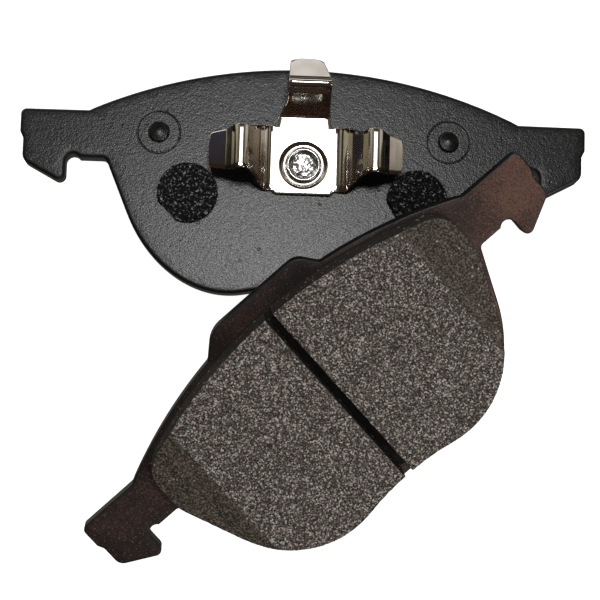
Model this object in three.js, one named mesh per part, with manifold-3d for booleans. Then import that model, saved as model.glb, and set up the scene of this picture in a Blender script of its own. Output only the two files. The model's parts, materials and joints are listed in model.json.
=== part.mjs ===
// A pair of front disc-brake pads for a floating caliper, all sizes in millimetres.
// The inner pad lies on its friction face with its piston clip up. The outer pad lies
// friction face up, its back leaning on the inner pad's lower edge.
import * as THREE from 'three';
import { mergeVertices } from 'three/addons/utils/BufferGeometryUtils.js';
import Module from 'manifold-3d';

const wasm = await Module();
wasm.setup();

// Thickness of the stack, from the steel plate to the friction face.
const PLATE_THICKNESS = 6;
const UNDERLAYER_THICKNESS = 2;
const FRICTION_THICKNESS = 10.5;
const STACK = PLATE_THICKNESS + UNDERLAYER_THICKNESS + FRICTION_THICKNESS;
const BOND = 0.05;           // room left for each glued or pressed face

// Outline shared by both plates: Y is the brake disc's radial direction.
const DISC_CENTRE_Y = -112.7; // axle of the disc, centre of the long edges
const OUTER_EDGE_RADIUS = 138;
const INNER_EDGE_RADIUS = 77.1;
const FRICTION_TOP_RADIUS = 136.8;
const FRICTION_FOOT_RADIUS = 80.1;
const EAR_HALF_LENGTH = 77.75;
const EAR_TOP = 11.8;
const EAR_UNDERSIDE = -1.3;
const NOTCH_CENTRE = [63, -2.55];
const NOTCH_RADIUS = 2.1;
const PLATE_BEVEL = 0.5;
const PLATE_FLANK = [[47.9, -16], [42.05, -29.8], [29, -39.9], [15, -37.1]];

// Tab on the outer plate's long edge, as seen from the plate's back.
const TAB_TOP = 29.4;
const TAB_ROOTS = [-18.9, 21.4];
const TAB_SHOULDERS = [-14.9, 15.3];
const LONG_EDGE_RESUMES = 24;

// Friction blocks.
const SLOT_WIDTH = 2.5;
const RAMP_START = 39.8;     // the leading and trailing ramps start this far from the slot
const RAMP_DROP = 3.4;
const FRICTION_HALF_LENGTH = 52.5;
const FRICTION_SHOULDER_RADIUS = 8;
const FRICTION_FLANK = [[45.4, -16], [39.9, -28.9], [28, -36.6], [14, -33.9]];

// Coined pips and the pockets behind them.
const PIP = { x: 39.9, y: 6.4, radius: 2.65, height: 1 };
const COIN_RING = { radius: 5.85, height: 0.25 };
const POCKET_DEPTH = 1.6;
const KEY_CLEARANCE = 0.15;

// Felt discs on the inner plate's back.
const DISC = {
  x: 31.4,
  y: -10.3,
  radius: 8.2,
  thickness: 1.8,
  flatAt: 7.4,
  leftTurn: -45,
  rightTurn: -60,
};

// Piston clip, pressed from one strip of spring steel.
const SHEET = 0.8;
const CLIP_LIFT = 0.5;       // the flat stands off the plate, only the rivet's dish touches
const BEND_REACH = 8.55;     // each finger bends about a line this far from the clip's centre
const BEND_GAP = 0.1;
const BASE_FOOT = -10;
const BASE_HALF_WIDTH = 8.5;
const SIDE_ROOT_HALF_WIDTH = 9;
const TOP_ROOT_HALF_WIDTH = 8;
const RIVET_Y = -1.7;
const DISH = { rim: 6.65, floor: 5.45 };

// Rivet that holds the clip.
const RIVET = { shank: 2.9, head: 5.1, headHeight: 1.3, dimple: 3.6, dimpleDepth: 0.8 };
const RIVET_HOLE = 3.05;
const SUNK_HEAD = { radius: 4.6, depth: 2.2 };

// Where the outer pad lies: turned in its own plane, then leaned, then that lean turned.
const OUTER_SPIN = 35.69;
const OUTER_LEAN = 16.6;
const OUTER_LEAN_HEADING = 7.88;
const OUTER_FACE = [7.62, -58.74, 19]; // middle of its plate's friction side

const ROUND = 48;            // sides of a small round shape

const finish = {
  powderCoat: { color: 0x2b2d2e, roughness: 0.55, metalness: 0.2 },
  primer: { color: 0x46302a, roughness: 0.6, metalness: 0.15 },
  friction: { color: 0x6a625b, roughness: 0.9, metalness: 0.1 },
  underlayer: { color: 0x2c2724, roughness: 0.9, metalness: 0 },
  felt: { color: 0x171718, roughness: 0.95, metalness: 0 },
  springSteel: { color: 0xc9c4bd, roughness: 0.2, metalness: 1 },
  rivetSteel: { color: 0xd6d6d4, roughness: 0.3, metalness: 1 },
};

function toSolid(geometry) {
  const plain = geometry.clone();
  plain.deleteAttribute('normal');
  plain.deleteAttribute('uv');
  const merged = mergeVertices(plain, 1e-4);
  const mesh = new wasm.Mesh({
    numProp: 3,
    vertProperties: new Float32Array(merged.attributes.position.array),
    triVerts: new Uint32Array(merged.index.array),
  });
  return new wasm.Manifold(mesh);
}

function toGeometry(solid) {
  const mesh = solid.getMesh();
  const geometry = new THREE.BufferGeometry();
  geometry.setAttribute('position', new THREE.BufferAttribute(mesh.vertProperties, 3));
  geometry.setIndex(new THREE.BufferAttribute(mesh.triVerts, 1));
  geometry.computeVertexNormals();
  return geometry;
}

function piece(name, solid, look) {
  const mesh = new THREE.Mesh(toGeometry(solid), new THREE.MeshStandardMaterial(look));
  mesh.name = name;
  return mesh;
}

// A closed outline through corner points [x, y, radius], each corner rounded by an arc.
function roundedCorners(corners) {
  const points = [];
  const count = corners.length;
  for (let i = 0; i < count; i += 1) {
    const [x, y, radius] = corners[i];
    const at = new THREE.Vector2(x, y);
    if (!radius) {
      points.push(at);
      continue;
    }
    const before = new THREE.Vector2(...corners[(i + count - 1) % count]).sub(at).normalize();
    const after = new THREE.Vector2(...corners[(i + 1) % count]).sub(at).normalize();
    const half = Math.acos(THREE.MathUtils.clamp(before.dot(after), -1, 1)) / 2;
    const reach = radius / Math.tan(half);
    const middle = before.clone().add(after).normalize();
    const centre = at.clone().addScaledVector(middle, radius / Math.sin(half));
    const start = at.clone().addScaledVector(before, reach).sub(centre);
    const end = at.clone().addScaledVector(after, reach).sub(centre);
    const steps = Math.max(2, Math.ceil((Math.PI - 2 * half) / 0.45));
    const turn = Math.atan2(start.x * end.y - start.y * end.x, start.dot(end));
    for (let k = 0; k <= steps; k += 1) {
      const angle = (turn * k) / steps;
      points.push(start.clone().rotateAround(new THREE.Vector2(), angle).add(centre));
    }
  }
  return points;
}

function cubic(values, steps) {
  const points = values.map(([x, y]) => new THREE.Vector2(x, y));
  return new THREE.CubicBezierCurve(...points).getPoints(steps);
}

// Points of an arc about the disc's centre, from one X to another.
function concentric(radius, fromX, toX, steps) {
  const points = [];
  for (let k = 0; k <= steps; k += 1) {
    const x = fromX + ((toX - fromX) * k) / steps;
    points.push(new THREE.Vector2(x, DISC_CENTRE_Y + Math.sqrt(radius * radius - x * x)));
  }
  return points;
}

const corner = (x, y, radius) => [x, y, radius];
const sharp = (points) => points.map((point) => [point.x, point.y, 0]);

// The right half of the plate's outline, from the long edge down to the foot.
function plateRightHalf(longEdgeStart) {
  const notchLeft = Math.PI - Math.asin((EAR_UNDERSIDE - NOTCH_CENTRE[1]) / NOTCH_RADIUS);
  const notch = [];
  const notchSteps = 8;
  for (let k = 0; k <= notchSteps; k += 1) {
    const angle = (notchLeft * k) / notchSteps;
    notch.push([
      NOTCH_CENTRE[0] + NOTCH_RADIUS * Math.cos(angle),
      NOTCH_CENTRE[1] + NOTCH_RADIUS * Math.sin(angle),
      0,
    ]);
  }
  return [
    ...sharp(concentric(OUTER_EDGE_RADIUS, longEdgeStart, 57.5, 14)),
    corner(59.1, EAR_TOP + 0.1, 1.5),
    corner(EAR_HALF_LENGTH, EAR_TOP, 1.6),
    corner(EAR_HALF_LENGTH, 5.4, 1.2),
    corner(76.85, 3.6, 1.2),
    corner(76.85, -2.6, 3),
    corner(NOTCH_CENTRE[0] + NOTCH_RADIUS, -8.9, 1.8),
    ...notch,
    corner(54.1, EAR_UNDERSIDE, 1.5),
    ...sharp(cubic(PLATE_FLANK, 12)),
    ...sharp(concentric(INNER_EDGE_RADIUS, 12, 0, 4)),
  ];
}

function mirrored(half) {
  const seamFree = half.filter(([x]) => x > 1e-6);
  return seamFree.map(([x, y, radius]) => [-x, y, radius]).reverse();
}

function plateOutline(withTab) {
  if (!withTab) {
    const half = plateRightHalf(0);
    return roundedCorners([...half, ...mirrored(half)]);
  }
  const half = plateRightHalf(LONG_EDGE_RESUMES);
  const edgeAt = (x) => DISC_CENTRE_Y + Math.sqrt(OUTER_EDGE_RADIUS ** 2 - x * x);
  const tab = [
    corner(TAB_ROOTS[0], edgeAt(TAB_ROOTS[0]), 1.5),
    corner(TAB_SHOULDERS[0], TAB_TOP, 5),
    corner(TAB_SHOULDERS[1], TAB_TOP, 8),
    corner(TAB_ROOTS[1], edgeAt(TAB_ROOTS[1]), 1.5),
  ];
  return roundedCorners([...tab, ...half, ...mirrored(half)]);
}

// The friction outline of the right-hand block, between the slot and the pad's end.
function frictionRightHalf(fromX) {
  return [
    ...sharp(concentric(FRICTION_TOP_RADIUS, fromX, 45, 12)),
    corner(FRICTION_HALF_LENGTH, 13.9, FRICTION_SHOULDER_RADIUS),
    corner(FRICTION_HALF_LENGTH, 0.4, FRICTION_SHOULDER_RADIUS),
    ...sharp(cubic(FRICTION_FLANK, 12)),
    ...sharp(concentric(FRICTION_FOOT_RADIUS, 11, fromX, 3)),
  ];
}

function extrude(points, low, high, bevel = 0) {
  const geometry = new THREE.ExtrudeGeometry(new THREE.Shape(points), {
    depth: high - low - 2 * bevel,
    bevelEnabled: bevel > 0,
    bevelThickness: bevel,
    bevelSize: bevel,
    bevelOffset: -bevel,
    bevelSegments: 2,
    curveSegments: 1,
  });
  geometry.translate(0, 0, low + bevel);
  return toSolid(geometry);
}

// A turned shape about a vertical line through x, y from [radius, height] pairs.
function turned(profile, x, y, sides = ROUND) {
  const points = profile.map(([radius, height]) => new THREE.Vector2(radius, height));
  const geometry = new THREE.LatheGeometry(points, sides);
  geometry.rotateX(Math.PI / 2);
  geometry.translate(x, y, 0);
  return toSolid(geometry);
}

const cylinder = (radius, low, high, x, y, sides) =>
  turned([[0, low], [radius, low], [radius, high], [0, high]], x, y, sides);

const bothSides = (make) => [-1, 1].map(make);

// A pad is built with its friction face at height 0 and its plate's back at STACK.
const FRICTION_TOP = FRICTION_THICKNESS;
const PLATE_LOW = FRICTION_THICKNESS + UNDERLAYER_THICKNESS;

function backingPlate(withTab) {
  const raised = STACK - 0.5;
  let plate = extrude(plateOutline(withTab), PLATE_LOW, STACK, PLATE_BEVEL);
  for (const side of [-1, 1]) {
    const x = side * PIP.x;
    const ringTop = STACK + COIN_RING.height;
    const pipTop = STACK + PIP.height;
    const coin = [
      [0, raised],
      [COIN_RING.radius, raised],
      [COIN_RING.radius, STACK],
      [COIN_RING.radius - 0.3, ringTop],
      [PIP.radius + 0.1, ringTop],
      [PIP.radius, pipTop - 0.3],
      [PIP.radius - 0.35, pipTop],
      [0, pipTop],
    ];
    plate = plate.add(turned(coin, x, PIP.y, 40));
    plate = plate.subtract(
      cylinder(PIP.radius, PLATE_LOW - 1, PLATE_LOW + POCKET_DEPTH, x, PIP.y, 32));
  }
  return plate;
}

function boreForRivet(plate) {
  const sunk = PLATE_LOW + SUNK_HEAD.depth;
  const bore = [
    [0, PLATE_LOW - 1],
    [SUNK_HEAD.radius + 0.15, PLATE_LOW - 1],
    [SUNK_HEAD.radius + 0.15, PLATE_LOW + 0.4],
    [RIVET_HOLE, sunk],
    [RIVET_HOLE, STACK + 1],
    [0, STACK + 1],
  ];
  return plate.subtract(turned(bore, 0, RIVET_Y));
}

function underlayer() {
  const half = frictionRightHalf(0);
  const outline = roundedCorners([...half, ...mirrored(half)]);
  let layer = extrude(outline, FRICTION_TOP + BOND, PLATE_LOW - BOND);
  for (const side of [-1, 1]) {
    const key = cylinder(
      PIP.radius - KEY_CLEARANCE,
      PLATE_LOW - 1,
      PLATE_LOW + POCKET_DEPTH - KEY_CLEARANCE,
      side * PIP.x,
      PIP.y,
      32,
    );
    layer = layer.add(key);
  }
  return layer;
}

// side is 1 for the block on the pad's +X side and -1 for its mirror image.
function frictionBlock(side) {
  const right = frictionRightHalf(SLOT_WIDTH / 2);
  const outline = roundedCorners(side > 0 ? right : mirrored(right));
  const block = extrude(outline, 0, FRICTION_TOP - BOND);
  const reach = 20;            // the wedge that cuts the ramp is wider than the block all round
  const width = 90;
  const ramp = new THREE.Shape([
    new THREE.Vector2(RAMP_START, 0),
    new THREE.Vector2(RAMP_START, -1),
    new THREE.Vector2(RAMP_START + reach, -1),
    new THREE.Vector2(
      RAMP_START + reach,
      (RAMP_DROP * reach) / (FRICTION_HALF_LENGTH - RAMP_START),
    ),
  ]);
  const wedge = new THREE.ExtrudeGeometry(ramp, { depth: width, bevelEnabled: false });
  wedge.rotateX(Math.PI / 2);
  wedge.translate(0, width / 2, 0);
  wedge.rotateZ(side > 0 ? 0 : Math.PI);
  return block.subtract(toSolid(wedge));
}

function feltDisc(side) {
  const low = STACK + BOND;
  const disc = cylinder(DISC.radius, low, low + DISC.thickness, side * DISC.x, DISC.y, 44);
  const size = 20;
  const trim = new THREE.BoxGeometry(size, size, size);
  trim.translate(0, -size / 2 - DISC.flatAt, low);
  trim.rotateZ(THREE.MathUtils.degToRad(side < 0 ? DISC.leftTurn : DISC.rightTurn));
  trim.translate(side * DISC.x, DISC.y, 0);
  return disc.subtract(toSolid(trim));
}

// The clip's flat, with its dished rivet seat.
const SHEET_LOW = STACK + CLIP_LIFT;
const SHEET_HIGH = SHEET_LOW + SHEET;
const SHEET_MIDDLE = SHEET_LOW + SHEET / 2;
const FINGER_ROOM = 30;      // more than a finger's height above the plate

function clipBase() {
  const edge = BEND_REACH - BEND_GAP / 2;
  const outline = roundedCorners([
    corner(-edge, BASE_FOOT + 0.9, 0),
    corner(-BASE_HALF_WIDTH + 1, BASE_FOOT, 0.6),
    corner(BASE_HALF_WIDTH - 1, BASE_FOOT, 0.6),
    corner(edge, BASE_FOOT + 0.9, 0),
    corner(edge, TOP_ROOT_HALF_WIDTH, 0),
    corner(TOP_ROOT_HALF_WIDTH, edge, 0),
    corner(-TOP_ROOT_HALF_WIDTH, edge, 0),
    corner(-edge, TOP_ROOT_HALF_WIDTH, 0),
  ]);
  const flat = extrude(outline, SHEET_LOW, SHEET_HIGH);
  const seatLow = STACK + BOND;
  const opening = [
    [0, STACK - 2],
    [DISH.rim, STACK - 2],
    [DISH.rim, SHEET_HIGH + 1],
    [0, SHEET_HIGH + 1],
  ];
  const dish = [
    [RIVET.shank + 0.15, seatLow],
    [DISH.floor, seatLow],
    [DISH.rim + 0.3, SHEET_LOW],
    [DISH.rim + 0.3, SHEET_HIGH],
    [DISH.rim - 0.1, SHEET_HIGH],
    [DISH.floor - 0.2, seatLow + SHEET],
    [RIVET.shank + 0.15, seatLow + SHEET],
    [RIVET.shank + 0.15, seatLow],
  ];
  return flat.subtract(turned(opening, 0, RIVET_Y)).add(turned(dish, 0, RIVET_Y));
}

// Each finger's middle line is [reach, height above the flat's middle, bend radius]. Its two
// edges are [reach, distance from the finger's axis, corner radius], to its left and right.
const ROOT = BEND_REACH + BEND_GAP / 2;
const SIDE_EDGE = [
  [8, SIDE_ROOT_HALF_WIDTH, 0],
  [11.2, SIDE_ROOT_HALF_WIDTH, 1.2],
  [14.9, 6, 3],
  [19, 5.95, 1],
  [21.2, 5.4, 0.6],
  [25.3, 4.75, 0.6],
];
const FINGERS = {
  left: {
    heading: 180,
    tip: 25.8,
    line: [
      [ROOT, 0, 0],
      [11, 0, 3],
      [14.1, 10.2, 5],
      [15.5, 14.2, 1],
      [16.9, 15.3, 1],
      [18.5, 14.2, 0.9],
      [19.2, 12.2, 0.7],
      [20.8, 9.6, 0.8],
      [25.6, 7.6, 0],
    ],
    edges: [SIDE_EDGE, SIDE_EDGE],
  },
  right: {
    heading: 0,
    tip: 26.5,
    line: [
      [ROOT, 0, 0],
      [11.8, 0, 4.6],
      [16, 10.2, 5],
      [17.1, 14.2, 1],
      [18.4, 15.3, 1],
      [20.2, 14.2, 0.9],
      [21, 12.2, 0.7],
      [22.5, 9.4, 0.8],
      [26.3, 6.6, 0],
    ],
    edges: [SIDE_EDGE, SIDE_EDGE].map((edge) =>
      edge.map(([reach, away, radius]) => [reach < 11 ? reach : reach + 0.8, away, radius])),
  },
  top: {
    heading: 90,
    tip: 26.2,
    line: [
      [ROOT, 0, 0],
      [12, 0, 1.2],
      [16.3, 10.2, 3],
      [16.8, 14.4, 0.9],
      [17.7, 15.4, 0.8],
      [18.8, 14.6, 0.8],
      [20, 11.2, 0.7],
      [25.8, 8, 0],
    ],
    edges: [
      [[8, TOP_ROOT_HALF_WIDTH, 0], [11.3, 7.3, 1], [14.8, 4.95, 2], [20, 4.85, 2], [25.2, 4.5, 0.4]],
      [[8, TOP_ROOT_HALF_WIDTH, 0], [11.3, 7.3, 1], [13, 6.8, 2], [20.2, 6.5, 1], [25.2, 4.5, 0.4]],
    ],
  },
};

function fingerSide(middleLine) {
  const line = roundedCorners(middleLine);
  const upper = [];
  const lower = [];
  for (let i = 0; i < line.length; i += 1) {
    const before = line[Math.max(0, i - 1)];
    const after = line[Math.min(line.length - 1, i + 1)];
    const along = after.clone().sub(before).normalize();
    const across = new THREE.Vector2(-along.y, along.x).multiplyScalar(SHEET / 2);
    upper.push(line[i].clone().add(across));
    lower.push(line[i].clone().sub(across));
  }
  return [...lower, ...upper.reverse()];
}

// One finger, made pointing along +X and turned to its place about the clip's centre.
function clipFinger({ heading, tip, line, edges }) {
  const depth = 24;            // the strip is wider than any finger
  const angle = THREE.MathUtils.degToRad(heading);
  const strip = new THREE.ExtrudeGeometry(new THREE.Shape(fingerSide(line)), {
    depth,
    bevelEnabled: false,
  });
  strip.rotateX(Math.PI / 2);
  strip.translate(0, depth / 2, SHEET_MIDDLE);
  strip.rotateZ(angle);
  const [left, right] = edges;
  const plan = [
    ...left,
    corner(tip, 0, 0),
    ...right.map(([x, y, radius]) => [x, -y, radius]).reverse(),
  ];
  const centre = new THREE.Vector2();
  const outline = roundedCorners(plan).map((at) => at.rotateAround(centre, angle));
  return toSolid(strip).intersect(extrude(outline.reverse(), STACK, STACK + FINGER_ROOM));
}

function clipRivet() {
  const headLow = STACK + BOND + SHEET + BOND;
  const headHigh = headLow + RIVET.headHeight;
  const profile = [
    [0, PLATE_LOW + BOND],
    [SUNK_HEAD.radius, PLATE_LOW + BOND],
    [SUNK_HEAD.radius, PLATE_LOW + 0.4],
    [RIVET.shank, PLATE_LOW + SUNK_HEAD.depth],
    [RIVET.shank, headLow],
    [RIVET.head - 0.25, headLow],
    [RIVET.head, headLow + 0.45],
    [RIVET.head - 0.5, headHigh - 0.15],
    [RIVET.head - 1, headHigh],
    [RIVET.dimple + 0.2, headHigh - 0.15],
    [RIVET.dimple - 0.5, headHigh - RIVET.dimpleDepth],
    [0, headHigh - RIVET.dimpleDepth + 0.15],
  ];
  return turned(profile, 0, RIVET_Y);
}

// leftSide is -1, or 1 on the pad that lies the other way up.
function frictionStack(prefix, leftSide) {
  return [
    piece(`${prefix}_underlayer`, underlayer(), finish.underlayer),
    piece(`${prefix}_friction_left`, frictionBlock(leftSide), finish.friction),
    piece(`${prefix}_friction_right`, frictionBlock(-leftSide), finish.friction),
  ];
}

function innerPad() {
  const pad = new THREE.Group();
  const plate = boreForRivet(backingPlate(false));
  const discs = bothSides((side) => piece(
    side < 0 ? 'damping_disc_left' : 'damping_disc_right', feltDisc(side), finish.felt));
  const fingers = Object.entries(FINGERS).map(([side, finger]) =>
    piece(`clip_finger_${side}`, clipFinger(finger), finish.springSteel));
  pad.add(
    piece('inner_backing_plate', plate, finish.powderCoat),
    ...frictionStack('inner', -1),
    ...discs,
    piece('clip_base', clipBase(), finish.springSteel),
    ...fingers,
    piece('clip_rivet', clipRivet(), finish.rivetSteel),
  );
  return pad;
}

// The outer pad's own frame has its plate's friction side at height 0, facing up.
function outerPad() {
  const flipped = new THREE.Group();
  flipped.rotation.y = Math.PI;
  flipped.position.z = PLATE_LOW;
  flipped.add(
    piece('outer_backing_plate', backingPlate(true), finish.primer),
    ...frictionStack('outer', 1),
  );
  const turnedInPlane = new THREE.Group();
  turnedInPlane.rotation.z = THREE.MathUtils.degToRad(OUTER_SPIN);
  turnedInPlane.add(flipped);
  const leaned = new THREE.Group();
  leaned.rotation.x = THREE.MathUtils.degToRad(OUTER_LEAN);
  leaned.add(turnedInPlane);
  const placed = new THREE.Group();
  placed.rotation.z = THREE.MathUtils.degToRad(OUTER_LEAN_HEADING);
  placed.position.set(...OUTER_FACE);
  placed.add(leaned);
  return placed;
}

// The pair's origin is the middle of its footprint, on the surface it lies on.
const pair = new THREE.Group();
pair.add(innerPad(), outerPad());
const box = new THREE.Box3().setFromObject(pair, true);
const middle = box.getCenter(new THREE.Vector3());
pair.position.set(-middle.x, -middle.y, 0);

export default pair;
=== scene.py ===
"""A pair of front disc-brake pads for a floating caliper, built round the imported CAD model.

The inner pad lies on its lining with its spring clip up. The outer pad lies lining up and leans
on it. Shapes are worked out in millimetres in each pad's own frame, where X runs from ear to
ear, Y points away from the axle and Z goes from the lining's face to the back of the plate.
"""
import json
import math

import bmesh
import bpy
import numpy as np
from mathutils import Euler, Matrix, Vector, noise
from mathutils.geometry import delaunay_2d_cdt

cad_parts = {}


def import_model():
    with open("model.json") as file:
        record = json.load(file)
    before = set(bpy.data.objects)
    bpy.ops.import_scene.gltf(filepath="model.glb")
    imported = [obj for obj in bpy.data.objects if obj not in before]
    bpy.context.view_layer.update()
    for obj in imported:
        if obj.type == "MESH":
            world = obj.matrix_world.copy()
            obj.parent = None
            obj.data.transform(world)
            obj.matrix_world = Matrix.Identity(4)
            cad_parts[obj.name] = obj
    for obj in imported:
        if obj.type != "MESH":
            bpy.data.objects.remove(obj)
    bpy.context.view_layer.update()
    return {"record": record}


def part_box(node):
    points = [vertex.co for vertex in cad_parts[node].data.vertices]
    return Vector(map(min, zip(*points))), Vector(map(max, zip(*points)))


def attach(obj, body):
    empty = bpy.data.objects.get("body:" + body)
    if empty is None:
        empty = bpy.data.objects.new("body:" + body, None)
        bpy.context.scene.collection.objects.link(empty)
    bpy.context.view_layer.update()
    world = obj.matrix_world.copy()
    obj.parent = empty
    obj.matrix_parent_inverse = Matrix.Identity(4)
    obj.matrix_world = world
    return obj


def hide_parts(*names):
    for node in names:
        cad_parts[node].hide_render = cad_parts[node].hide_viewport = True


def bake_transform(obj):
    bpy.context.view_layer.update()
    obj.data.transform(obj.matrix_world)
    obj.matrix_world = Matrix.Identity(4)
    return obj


MM = 0.001
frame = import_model()

# ---------------------------------------------------------------- driving sizes, in mm
LINING = 10.5
PLATE_LOW = 12.5
PLATE_HIGH = 18.5
BOND = 0.05

AXLE_Y = -112.7
OUTER_EDGE_RADIUS = 138
INNER_EDGE_RADIUS = 77.1
LINING_TOP_RADIUS = 136.8
LINING_FOOT_RADIUS = 80.1
EAR_END = 77.75
EAR_TOP = 11.8
EAR_UNDERSIDE = -1.3
NOTCH = (63, -2.55)
NOTCH_RADIUS = 2.1

TAB_TOP = 29.4
TAB_ROOTS = (-18.9, 21.4)
TAB_SHOULDERS = (-14.9, 15.3)
LONG_EDGE_RESUMES = 24

SLOT = 2.5
RAMP_START = 39.8
RAMP_DROP = 3.4
LINING_END = 52.5

PIP = (39.9, 6.4)
PIP_RADIUS = 2.65
POCKET_DEPTH = 1.6
COIN_RADIUS = 5.85

DISC = (31.4, -10.3)
DISC_RADIUS = 8.2
DISC_THICKNESS = 1.8
DISC_FLAT = 7.4
DISC_TURNS = (-45, -60)

SHEET = 0.8
SHEET_LOW = PLATE_HIGH + 0.5
SHEET_HIGH = SHEET_LOW + SHEET
BEND = 8.55
CLIP_FOOT = -10
SIDE_ROOT = 9
TOP_ROOT = 8
RIVET_Y = -1.7
SHANK = 2.9
RIVET_HOLE = SHANK + 0.15
RIVET_HEAD_HEIGHT = 1.3
HOLLOW_DEPTH = 0.8
COUNTERSINK_DEPTH = 2.2

# Each finger's middle line is (reach, height, bend radius) and its two edges are (reach, distance
# from the finger's axis, corner radius), to its left and right.
SIDE_EDGE = [(8, SIDE_ROOT, 0), (11.2, SIDE_ROOT, 1.2), (14.9, 6, 3), (19, 5.95, 1), (21.2, 5.4, 0.6),
             (25.3, 4.75, 0.6)]
LATER_EDGE = [(reach if reach < 11 else reach + 0.8, away, r) for reach, away, r in SIDE_EDGE]
FINGERS = {
    "left": {
        "heading": 180, "tip": 25.8, "edges": (SIDE_EDGE, SIDE_EDGE),
        "line": [(BEND, 0, 0), (11, 0, 3), (14.1, 10.2, 5), (15.5, 14.2, 1), (16.3, 15.2, 0.8),
                 (17.8, 15.25, 0.8), (18.5, 14.2, 0.9), (19.2, 12.2, 0.7), (20.8, 9.6, 0.8),
                 (25.6, 7.6, 0)]},
    "right": {
        "heading": 0, "tip": 26.5, "edges": (LATER_EDGE, LATER_EDGE),
        "line": [(BEND, 0, 0), (11.8, 0, 4.6), (16, 10.2, 5), (17.1, 14.2, 1), (17.8, 15.2, 0.8),
                 (19.4, 15.25, 0.8), (20.2, 14.2, 0.9), (21, 12.2, 0.7), (22.5, 9.4, 0.8),
                 (26.3, 6.6, 0)]},
    "top": {
        "heading": 90, "tip": 26.2,
        "edges": ([(8, TOP_ROOT, 0), (11.3, 7.3, 1), (14.8, 4.95, 2), (20, 4.85, 2), (25.2, 4.5, 0.4)],
                  [(8, TOP_ROOT, 0), (11.3, 7.3, 1), (13, 6.8, 2), (20.2, 6.5, 1), (25.2, 4.5, 0.4)]),
        "line": [(BEND, 0, 0), (12, 0, 1.2), (16.3, 10.2, 3), (16.8, 14.4, 0.9), (17.7, 15.4, 0.8),
                 (18.8, 14.6, 0.8), (20, 11.2, 0.7), (25.8, 8, 0)]},
}

FACE_MOUNT_Y = -5  # the outer pad's face mounts lie this far below its middle


def inner_place():
    """The inner pad's frame, from the highest point of its plate's long edge."""
    long_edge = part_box("inner_backing_plate")[1].y / MM
    return Matrix.Translation((0, long_edge - AXLE_Y - OUTER_EDGE_RADIUS, 0))


def outer_place():
    """The outer pad's frame, from the mounts on its faces: its back turns down and away."""
    mounts = {m["name"]: m for m in frame["record"]["mounts"]}
    out = Vector(mounts["outer_friction_face_left"]["axis"]).normalized()
    along = Vector(mounts["outer_ear_end_right"]["axis"]).normalized()
    radial = out.cross(along)
    left, right = (Vector(mounts[f"outer_friction_face_{side}"]["pos_m"]) / MM
                   for side in ("left", "right"))
    origin = (left + right) / 2 - radial * FACE_MOUNT_Y
    place = Matrix((-along, radial, -out)).transposed().to_4x4()
    place.translation = origin
    return place


INNER = inner_place()
OUTER = outer_place()


# ---------------------------------------------------------------- outlines
def spaced(first, last, steps):
    """Evenly spaced numbers, both ends included."""
    return [first + (last - first) * k / steps for k in range(steps + 1)]


def axle_arc(radius, from_x, to_x, steps):
    """Corners along an arc about the axle, each without a radius of its own."""
    return [(x, AXLE_Y + math.sqrt(radius ** 2 - x * x), 0) for x in spaced(from_x, to_x, steps)]


def bezier(a, b, c, d, steps):
    """Corners along a cubic curve from a to d."""
    points = []
    for t in spaced(0, 1, steps):
        weights = ((1 - t) ** 3, 3 * t * (1 - t) ** 2, 3 * t * t * (1 - t), t ** 3)
        points.append(tuple(sum(w * p[k] for w, p in zip(weights, (a, b, c, d))) for k in (0, 1)) + (0,))
    return points


def rounded(corners, turn=0.16, closed=True):
    """Points of a line through corners (x, y, radius), each one rounded by an arc."""
    points = []
    for i, (x, y, radius) in enumerate(corners):
        at = Vector((x, y))
        if not radius or (not closed and i in (0, len(corners) - 1)):
            points.append(at)
            continue
        before = (Vector(corners[i - 1][:2]) - at).normalized()
        after = (Vector(corners[(i + 1) % len(corners)][:2]) - at).normalized()
        half = before.angle(after) / 2
        centre = at + (before + after).normalized() * radius / math.sin(half)
        start = at + before * radius / math.tan(half) - centre
        end = at + after * radius / math.tan(half) - centre
        sweep = math.atan2(start.x * end.y - start.y * end.x, start.dot(end))
        steps = max(2, math.ceil(abs(sweep) / turn))
        for k in range(steps + 1):
            points.append(centre + start @ Matrix.Rotation(-sweep * k / steps, 2))
    return points


def divided(points, longest, closed=True):
    """The same line with no step longer than the one given."""
    dense = []
    pairs = list(zip(points, points[1:] + points[:1])) if closed else list(zip(points, points[1:]))
    for a, b in pairs:
        parts = max(1, math.ceil((b - a).length / longest))
        dense += [a.lerp(b, k / parts) for k in range(parts)]
    return dense if closed else dense + [points[-1]]


def mirrored(half):
    """The other half of an outline, without the corners on the middle line."""
    return [(-x, y, r) for x, y, r in reversed(half) if x > 1e-6]


def plate_half(start):
    """The plate's right half, clockwise from its long edge: ear, hook, notch and short edge."""
    below = EAR_UNDERSIDE - NOTCH[1]
    last = math.pi - math.asin(below / NOTCH_RADIUS)
    notch = [(NOTCH[0] + NOTCH_RADIUS * math.cos(a), NOTCH[1] + NOTCH_RADIUS * math.sin(a), 0)
             for a in spaced(0, last, 18)]
    return [
        *axle_arc(OUTER_EDGE_RADIUS, start, 57.5, 40),
        (59.1, EAR_TOP + 0.1, 1.5),
        (EAR_END, EAR_TOP, 1.6),
        (EAR_END, 5.4, 1.2),
        (76.85, 3.6, 1.2),
        (76.85, -2.6, 3),
        (NOTCH[0] + NOTCH_RADIUS, -8.9, 1.8),
        *notch,
        (54.1, EAR_UNDERSIDE, 1.5),
        *bezier((47.9, -16), (42.05, -29.8), (29, -39.9), (15, -37.1), 30),
        *axle_arc(INNER_EDGE_RADIUS, 12, 0, 8),
    ]


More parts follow.
